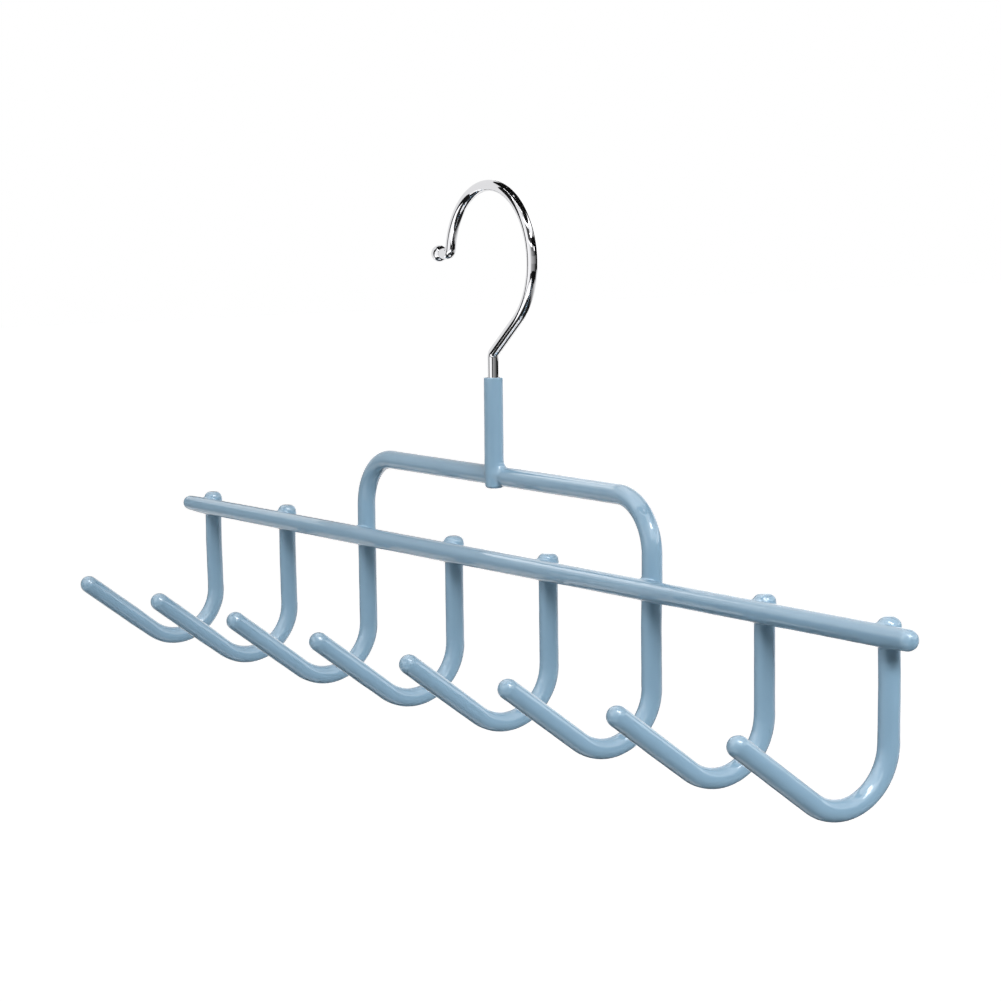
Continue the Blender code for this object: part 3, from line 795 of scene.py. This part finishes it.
def white_world(ambient):
    """White behind everything, and a plain level of light from all round."""
    world = bpy.data.worlds.new("white_studio")
    bpy.context.scene.world = world
    world.use_nodes = True
    tree = world.node_tree
    background = tree.nodes["Background"]
    background.inputs["Color"].default_value = (1.0, 1.0, 1.0, 1.0)
    wire_up(tree, white_for_camera(tree, ambient, 1.0), "Result", background, "Strength")


def floor_material():
    """Matt white floor that glows a little to the camera, more so away from the lamps."""
    material = bpy.data.materials.new("studio_floor")
    material.use_nodes = True
    tree = material.node_tree
    shader = tree.nodes["Principled BSDF"]
    shader.inputs["Base Color"].default_value = (0.58, 0.58, 0.58, 1.0)
    shader.inputs["Roughness"].default_value = 0.9
    shader.inputs["Specular IOR Level"].default_value = 0.1
    shader.inputs["Emission Color"].default_value = (1.0, 1.0, 1.0, 1.0)
    place = tree.nodes.new("ShaderNodeNewGeometry")
    reach = tree.nodes.new("ShaderNodeVectorMath")
    reach.operation = "LENGTH"
    fade = tree.nodes.new("ShaderNodeMapRange")
    fade.inputs["From Min"].default_value = 0.7
    fade.inputs["From Max"].default_value = 2.4
    fade.inputs["To Min"].default_value = 0.80
    fade.inputs["To Max"].default_value = 0.97
    product = tree.nodes.new("ShaderNodeMath")
    product.operation = "MULTIPLY"
    wire_up(tree, place, "Position", reach, "Vector")
    wire_up(tree, reach, "Value", fade, "Value")
    wire_up(tree, fade, "Result", product, 0)
    wire_up(tree, white_for_camera(tree, 0.0, 1.0), "Result", product, 1)
    wire_up(tree, product, "Value", shader, "Emission Strength")
    return material


# Half the width of the floor
FLOOR_HALF = 9.0


def add_floor(height):
    """A wide plain floor, well below the hanging part."""
    bm = bmesh.new()
    place = Matrix.Translation((0, 0, height))
    bmesh.ops.create_grid(bm, x_segments=8, y_segments=8, size=FLOOR_HALF, matrix=place)
    mesh = bpy.data.meshes.new("floor")
    bm.to_mesh(mesh)
    bm.free()
    floor = bpy.data.objects.new("floor", mesh)
    bpy.context.scene.collection.objects.link(floor)
    mesh.materials.append(floor_material())


# Centres of the cards: inside the round of the rod hook, and in the middle of the rack
HOOK_CENTRE = Vector((0.0, 0.0, -0.018))
RACK_CENTRE = Vector((0.0, -0.02, -0.10))


def studio_direction(settings, azimuth, elevation):
    """Direction from the part, with azimuth from the camera, positive to the picture's right, in degrees."""
    turn = settings.azimuth - math.pi / 2 + math.radians(azimuth)
    lift = math.radians(elevation)
    return Vector((math.cos(turn) * math.cos(lift), math.sin(turn) * math.cos(lift), math.sin(lift)))


def add_lamp(settings, name, azimuth, elevation, distance, size, level):
    """An area lamp that faces the part, without a reflection. level is its brightness, where white is 1."""
    lamp = bpy.data.lights.new(name, "AREA")
    lamp.shape = "RECTANGLE"
    lamp.size, lamp.size_y = size
    lamp.energy = level * math.pi * size[0] * size[1]
    obj = bpy.data.objects.new(name, lamp)
    toward = studio_direction(settings, azimuth, elevation)
    obj.location = RACK_CENTRE + toward * distance
    obj.visible_glossy = False
    obj.rotation_euler = toward.to_track_quat("Z", "Y").to_euler()
    bpy.context.scene.collection.objects.link(obj)


def card_material(name, reach):
    """A card's glow. Rays that are longer than its reach, or that meet its back, pass through it."""
    material = bpy.data.materials.new(name)
    material.use_nodes = True
    tree = material.node_tree
    tree.nodes.remove(tree.nodes["Principled BSDF"])
    glow = tree.nodes.new("ShaderNodeEmission")
    level = tree.nodes.new("ShaderNodeAttribute")
    level.attribute_name = "level"
    wire_up(tree, level, "Fac", glow, "Strength")
    path = tree.nodes.new("ShaderNodeLightPath")
    far = tree.nodes.new("ShaderNodeMath")
    far.operation = "GREATER_THAN"
    far.inputs[1].default_value = reach
    wire_up(tree, path, "Ray Length", far, 0)
    side = tree.nodes.new("ShaderNodeNewGeometry")
    passed = tree.nodes.new("ShaderNodeMath")
    passed.operation = "MAXIMUM"
    wire_up(tree, far, "Value", passed, 0)
    wire_up(tree, side, "Backfacing", passed, 1)
    clear = tree.nodes.new("ShaderNodeBsdfTransparent")
    choice = tree.nodes.new("ShaderNodeMixShader")
    wire_up(tree, passed, "Value", choice, 0)
    wire_up(tree, glow, "Emission", choice, 1)
    wire_up(tree, clear, "BSDF", choice, 2)
    wire_up(tree, choice, "Shader", tree.nodes["Material Output"], "Surface")
    return material


# Degrees between a card's vertices, and a reach that no ray from the part is longer than
CARD_STEP = 6
FULL_REACH = 9.0


def add_card(settings, name, centre, azimuths, elevations, levels, distance, reach=FULL_REACH):
    """A curved card that shows only in glossy surfaces, with one level at its left and one at its right."""
    bm = bmesh.new()
    across = max(2, int((azimuths[1] - azimuths[0]) / CARD_STEP))
    up = max(2, int((elevations[1] - elevations[0]) / CARD_STEP))
    rows = []
    for j in range(up + 1):
        lift = elevations[0] + (elevations[1] - elevations[0]) * j / up
        turns = [azimuths[0] + (azimuths[1] - azimuths[0]) * i / across for i in range(across + 1)]
        places = [centre + studio_direction(settings, turn, lift) * distance for turn in turns]
        rows.append([bm.verts.new(place) for place in places])
    for low, high in zip(rows, rows[1:]):
        for i in range(across):
            bm.faces.new((low[i], high[i], high[i + 1], low[i + 1]))
    mesh = bpy.data.meshes.new(name)
    bm.to_mesh(mesh)
    bm.free()
    row = np.linspace(levels[0], levels[1], across + 1)
    mesh.attributes.new("level", "FLOAT", "POINT").data.foreach_set("value", np.tile(row, up + 1))
    mesh.materials.append(card_material(name, reach))
    card = bpy.data.objects.new(name, mesh)
    card.visible_camera = False
    card.visible_diffuse = False
    card.visible_transmission = False
    card.visible_volume_scatter = False
    card.visible_shadow = False
    bpy.context.scene.collection.objects.link(card)


def add_camera(settings):
    """The camera at the photograph's viewing angle."""
    camera = bpy.data.cameras.new("camera")
    camera.sensor_width = SENSOR_WIDTH
    camera.lens = settings.lens
    camera.clip_start = 0.01
    obj = bpy.data.objects.new("camera", camera)
    a, e, r = settings.azimuth, settings.elevation, settings.roll
    back = Vector((math.sin(a) * math.cos(e), -math.cos(a) * math.cos(e), math.sin(e)))
    level = Vector((math.cos(a), math.sin(a), 0.0))
    up = back.cross(level)
    right = level * math.cos(r) + up * math.sin(r)
    up = up * math.cos(r) - level * math.sin(r)
    axes = Matrix((right, up, back)).transposed().to_4x4()
    obj.matrix_world = Matrix.Translation(settings.place) @ axes
    bpy.context.scene.collection.objects.link(obj)
    bpy.context.scene.camera = obj


# Lamps: name, azimuth from the camera, elevation, distance, size, level
LAMPS = (
    ("softbox_over_camera", 20.0, 29.0, 1.30, (0.44, 0.38), 29.5),
    ("panel_right", 92.0, 5.0, 1.40, (0.90, 0.90), 2.8),
    ("panel_left", -78.0, 28.0, 1.50, (1.15, 1.70), 2.5),
    ("panel_low_left", -100.0, -30.0, 1.10, (0.80, 0.80), 0.9),
)

# What the coating reflects, round the rack: name, azimuths, elevations, level
RACK_CARD_DISTANCE = 1.6
RACK_CARDS = (
    ("front_low", (-42.0, 8.0), (-44.0, 0.0), 0.02),
    ("front_level", (-42.0, 8.0), (0.0, 20.0), 0.70),
    ("front", (-42.0, 8.0), (20.0, 38.0), 1.60),
    ("front_high", (-42.0, 8.0), (38.0, 46.0), 3.20),
    ("front_top", (-42.0, 8.0), (46.0, 58.0), 3.40),
    ("left_low", (-86.0, -42.0), (-30.0, 0.0), 0.50),
    ("left_level", (-86.0, -42.0), (0.0, 20.0), 1.70),
    ("left", (-86.0, -42.0), (20.0, 38.0), 3.20),
    ("left_high", (-86.0, -42.0), (38.0, 46.0), 4.20),
    ("left_side", (-112.0, -86.0), (20.0, 46.0), 2.20),
    ("left_top", (-180.0, -42.0), (46.0, 58.0), 3.00),
    ("key_low", (8.0, 40.0), (20.0, 38.0), 3.80),
    ("key_high", (8.0, 40.0), (38.0, 58.0), 6.00),
    ("right", (40.0, 75.0), (20.0, 38.0), 2.70),
    ("right_high", (40.0, 75.0), (38.0, 58.0), 3.00),
    ("right_side", (75.0, 112.0), (20.0, 58.0), 1.70),
    ("right_level", (60.0, 112.0), (0.0, 20.0), 3.40),
    ("behind_right_level", (112.0, 180.0), (0.0, 20.0), 1.60),
    ("behind_right", (112.0, 180.0), (20.0, 58.0), 1.20),
    ("behind_right_low", (142.0, 180.0), (-44.0, -10.0), 0.25),
    ("behind_left_high", (-180.0, -112.0), (20.0, 46.0), 1.60),
    ("behind_left", (-180.0, -112.0), (-30.0, 20.0), 0.35),
    ("behind_left_low", (-180.0, -112.0), (-44.0, -30.0), 0.10),
    ("over_left", (-180.0, -24.0), (58.0, 72.0), 3.80),
    ("over_front", (-24.0, 22.0), (58.0, 72.0), 5.00),
    ("over_right", (22.0, 180.0), (58.0, 72.0), 3.00),
    ("top", (-180.0, 180.0), (72.0, 90.0), 3.20),
)

# Small bright cards in front of those, which put the sharp highlights on the coating
HOT_CARD_DISTANCE = 1.5
HOT_CARDS = (
    ("lamp_high", (-10.0, 13.0), (59.0, 69.0), 18.0),
    ("lamp_upper", (4.0, 29.0), (51.0, 60.0), 22.0),
    ("lamp_lower", (20.0, 43.0), (43.0, 52.0), 22.0),
    ("lamp_low", (33.0, 52.0), (36.0, 44.0), 18.0),
    ("strip_behind", (-162.0, -124.0), (31.0, 38.0), 3.6),
)

# What the plating reflects, round the rod hook: name, azimuths, elevations, levels at left and right,
# and distance
HOOK_CARDS = (
    ("card_dark_strip", (-105.0, -85.0), (-80.0, 2.0), (0.010, 0.010), 0.60),
    ("card_dark_right", (8.0, 142.0), (-50.0, 2.0), (0.006, 0.006), 0.60),
    ("card_dark_floor", (-180.0, 180.0), (-86.0, -44.0), (0.020, 0.020), 0.62),
    ("card_grey_under", (-2.0, 72.0), (-13.0, 0.0), (0.40, 0.08), 0.575),
    ("card_light_behind", (104.0, 166.0), (-20.0, -8.0), (0.80, 0.90), 0.56),
    ("card_light_right", (82.0, 148.0), (-27.0, -20.0), (0.60, 0.80), 0.56),
    ("card_light_under", (62.0, 124.0), (-35.0, -27.0), (0.35, 0.55), 0.56),
    ("card_light_lowest", (44.0, 102.0), (-44.0, -35.0), (0.27, 0.22), 0.56),
)

# Hoods close to the rod hook, all at one distance. Rays from most of the rack are too long to see them.
HOOD_DISTANCE = 0.143
HOOD_REACH = 0.168
HOODS = (
    ("hood_white_behind", (-180.0, -105.0), (-30.0, 49.0), (0.85, 0.85)),
    ("hood_dark_strip", (-105.0, -80.0), (-4.0, 20.0), (0.010, 0.010)),
    ("hood_dark_strip_high", (-105.0, -74.0), (20.0, 58.0), (0.010, 0.010)),
    ("hood_bright_low", (-80.0, -24.0), (-20.0, -4.0), (1.10, 1.00)),
    ("hood_bright_left", (-80.0, -24.0), (-4.0, 20.0), (1.10, 1.00)),
    ("hood_bright_high", (-74.0, -28.0), (20.0, 46.0), (1.00, 1.00)),
    ("hood_bright_top", (-70.0, -6.0), (46.0, 58.0), (0.80, 0.60)),
    ("hood_bright_front", (-24.0, -2.0), (-14.0, 15.0), (0.90, 0.55)),
    ("hood_front", (-28.0, 24.0), (20.0, 40.0), (0.08, 0.06)),
    ("hood_grey_low", (-2.0, 84.0), (-4.0, 5.0), (0.50, 0.09)),
    ("hood_grey_mid", (-2.0, 64.0), (5.0, 11.0), (0.38, 0.05)),
    ("hood_grey_high", (-2.0, 52.0), (11.0, 16.0), (0.28, 0.02)),
    ("hood_dark_low", (84.0, 142.0), (-4.0, 5.0), (0.004, 0.004)),
    ("hood_dark_mid", (64.0, 142.0), (5.0, 16.0), (0.004, 0.004)),
    ("hood_dark_high", (98.0, 142.0), (16.0, 20.0), (0.004, 0.004)),
    ("hood_lamp_high", (14.0, 60.0), (40.0, 46.0), (1.0, 1.0)),
    ("hood_lamp_mid", (24.0, 82.0), (34.0, 40.0), (1.0, 1.2)),
    ("hood_lamp_low", (40.0, 98.0), (28.0, 34.0), (1.0, 1.2)),
    ("hood_lamp_end", (82.0, 106.0), (22.0, 28.0), (0.8, 0.8)),
    ("hood_top_right", (-6.0, 180.0), (46.0, 88.0), (0.004, 0.004)),
    ("hood_right", (24.0, 98.0), (16.0, 28.0), (0.004, 0.004)),
    ("hood_back_right", (106.0, 180.0), (20.0, 46.0), (0.004, 0.004)),
    ("hood_top_left", (-180.0, -6.0), (60.0, 88.0), (0.004, 0.004)),
    ("hood_back_left", (-180.0, -105.0), (49.0, 60.0), (0.004, 0.004)),
)

# Glowing cards close to the frame's right corner, in front of the hoods, with a distance and a reach each: a
# painted highlight and sheen on that corner alone, since only rays from near it are short enough to see them
CORNER_CENTRE = Vector((0.0752, 0.0010, -0.0886))
CORNER_CARDS = (
    ("corner_sheen_glow", (-4.0, 80.0), (14.0, 64.0), (3.6, 2.8), 0.050, 0.068),
    ("corner_highlight_glow", (24.0, 50.0), (34.0, 47.0), (20.0, 20.0), 0.045, 0.062),
)


class HANGER_OT_stage(bpy.types.Operator):
    """Set the camera, the white floor, the lamps and the cards that glossy surfaces reflect"""

    bl_idname = "hanger.stage"
    bl_label = "Studio"

    def execute(self, context):
        settings = context.scene.hanger_stage
        context.scene.view_settings.view_transform = "Standard"
        add_camera(settings)
        white_world(settings.ambient)
        add_floor(settings.floor)
        for name, azimuth, elevation, distance, size, level in LAMPS:
            add_lamp(settings, name, azimuth, elevation, distance, size, level)
        for name, azimuths, elevations, level in RACK_CARDS:
            levels = (level, level)
            add_card(settings, "rack_" + name, RACK_CENTRE, azimuths, elevations, levels, RACK_CARD_DISTANCE)
        for name, azimuths, elevations, level in HOT_CARDS:
            levels = (level, level)
            add_card(settings, "hot_" + name, RACK_CENTRE, azimuths, elevations, levels, HOT_CARD_DISTANCE)
        for name, azimuths, elevations, levels, distance in HOOK_CARDS:
            add_card(settings, name, HOOK_CENTRE, azimuths, elevations, levels, distance)
        for name, azimuths, elevations, levels in HOODS:
            add_card(settings, name, HOOK_CENTRE, azimuths, elevations, levels, HOOD_DISTANCE, HOOD_REACH)
        for name, azimuths, elevations, levels, distance, reach in CORNER_CARDS:
            add_card(settings, name, CORNER_CENTRE, azimuths, elevations, levels, distance, reach)
        return {"FINISHED"}


class HANGER_PT_panel(bpy.types.Panel):
    """Sizes, colours and steps of the hanger's looks"""

    bl_idname = "HANGER_PT_panel"
    bl_label = "Multi-hook hanger"
    bl_space_type = "VIEW_3D"
    bl_region_type = "UI"
    bl_category = "Hanger"

    def draw(self, context):
        scene = context.scene
        for name, operator in STEPS:
            box = self.layout.box()
            if name:
                settings = getattr(scene, name)
                for label in settings.__annotations__:
                    box.prop(settings, label)
            box.operator(operator.bl_idname)


SETTINGS = {
    "hanger_coating": CoatingSettings,
    "hanger_rod_hook": RodHookSettings,
    "hanger_stage": StageSettings,
}
STEPS = (
    ("hanger_coating", HANGER_OT_coating),
    ("hanger_rod_hook", HANGER_OT_rod_hook),
    ("", HANGER_OT_steel),
    ("hanger_stage", HANGER_OT_stage),
)
CLASSES = tuple(SETTINGS.values()) + tuple(operator for _, operator in STEPS) + (HANGER_PT_panel,)


def register():
    """Register the classes and their settings."""
    for cls in CLASSES:
        bpy.utils.register_class(cls)
    for name, cls in SETTINGS.items():
        setattr(bpy.types.Scene, name, PointerProperty(type=cls))


def unregister():
    """Take the settings and classes away again."""
    for name in SETTINGS:
        delattr(bpy.types.Scene, name)
    for cls in reversed(CLASSES):
        bpy.utils.unregister_class(cls)


def main():
    """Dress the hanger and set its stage."""
    register()
    bpy.ops.hanger.coating()
    bpy.ops.hanger.rod_hook()
    bpy.ops.hanger.steel()
    bpy.ops.hanger.stage()


if __name__ == "__main__":
    main()
